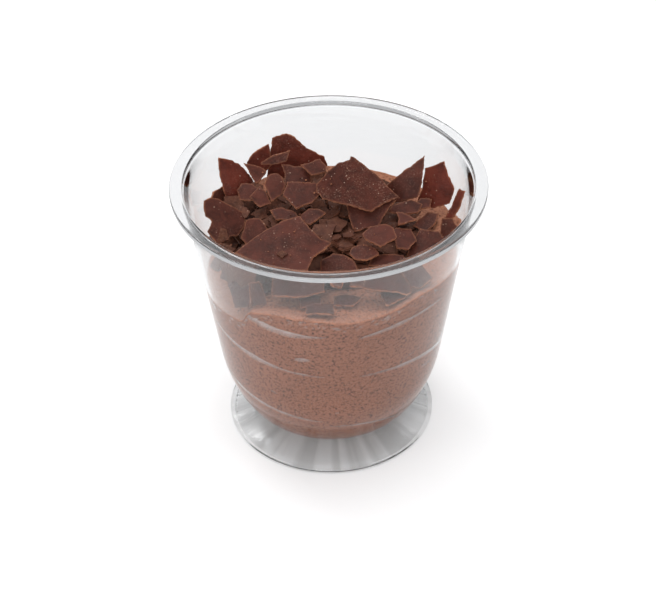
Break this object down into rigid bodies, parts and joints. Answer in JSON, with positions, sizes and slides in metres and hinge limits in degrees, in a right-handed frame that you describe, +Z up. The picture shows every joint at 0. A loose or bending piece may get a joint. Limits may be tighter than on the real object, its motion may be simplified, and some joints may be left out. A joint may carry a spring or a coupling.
{
  "type": "chocolate mousse in a footed dessert cup",
  "caption": "Clear footed dessert cup filled with piped chocolate mousse and topped with a pile of thin broken flakes of dark chocolate.",
  "frame": {"origin": "centre of the foot's underside, on the surface that the cup stands on", "axes": "+Z up along the cup's axis; the side with the large flat flake faces -Y"},
  "size_m": [0.08, 0.08, 0.075],
  "materials": {
    "clear_cup": "clear glossy moulded polystyrene",
    "mousse": "light brown aerated mousse, matte, with small bubbles",
    "dark_chocolate": "dark chocolate with a satin face and lighter broken edges"
  },
  "bodies": {
    "root": {"cup": "clear_cup", "flake_heap": "dark_chocolate", "mousse": "mousse", "shard_back_bar": "dark_chocolate", "shard_back_left": "dark_chocolate", "shard_back_low": "dark_chocolate", "shard_back_ridge": "dark_chocolate", "shard_back_slope": "dark_chocolate", "shard_back_tall": "dark_chocolate", "shard_centre_left": "dark_chocolate", "shard_centre_top": "dark_chocolate", "shard_front_centre": "dark_chocolate", "shard_front_end": "dark_chocolate", "shard_front_flat": "dark_chocolate", "shard_front_low": "dark_chocolate", "shard_front_side": "dark_chocolate", "shard_front_under": "dark_chocolate", "shard_front_wide": "dark_chocolate", "shard_inner_flat": "dark_chocolate", "shard_left_front": "dark_chocolate", "shard_left_low": "dark_chocolate", "shard_left_middle": "dark_chocolate", "shard_left_prop": "dark_chocolate", "shard_left_sliver": "dark_chocolate", "shard_left_tall": "dark_chocolate", "shard_left_wedge": "dark_chocolate", "shard_low_dark": "dark_chocolate", "shard_low_plate": "dark_chocolate", "shard_low_point": "dark_chocolate", "shard_low_right": "dark_chocolate", "shard_low_side": "dark_chocolate", "shard_low_slab": "dark_chocolate", "shard_low_square": "dark_chocolate", "shard_low_wedge": "dark_chocolate", "shard_middle": "dark_chocolate", "shard_right_flat": "dark_chocolate", "shard_right_front": "dark_chocolate", "shard_right_point": "dark_chocolate", "shard_right_ragged": "dark_chocolate", "shard_right_red": "dark_chocolate", "shard_right_strip": "dark_chocolate", "shard_right_thin": "dark_chocolate", "shard_right_wall": "dark_chocolate", "shard_rounded": "dark_chocolate", "shard_small_wedge": "dark_chocolate", "shard_under_centre": "dark_chocolate", "shard_upper_left": "dark_chocolate"}
  },
  "joints": []
}
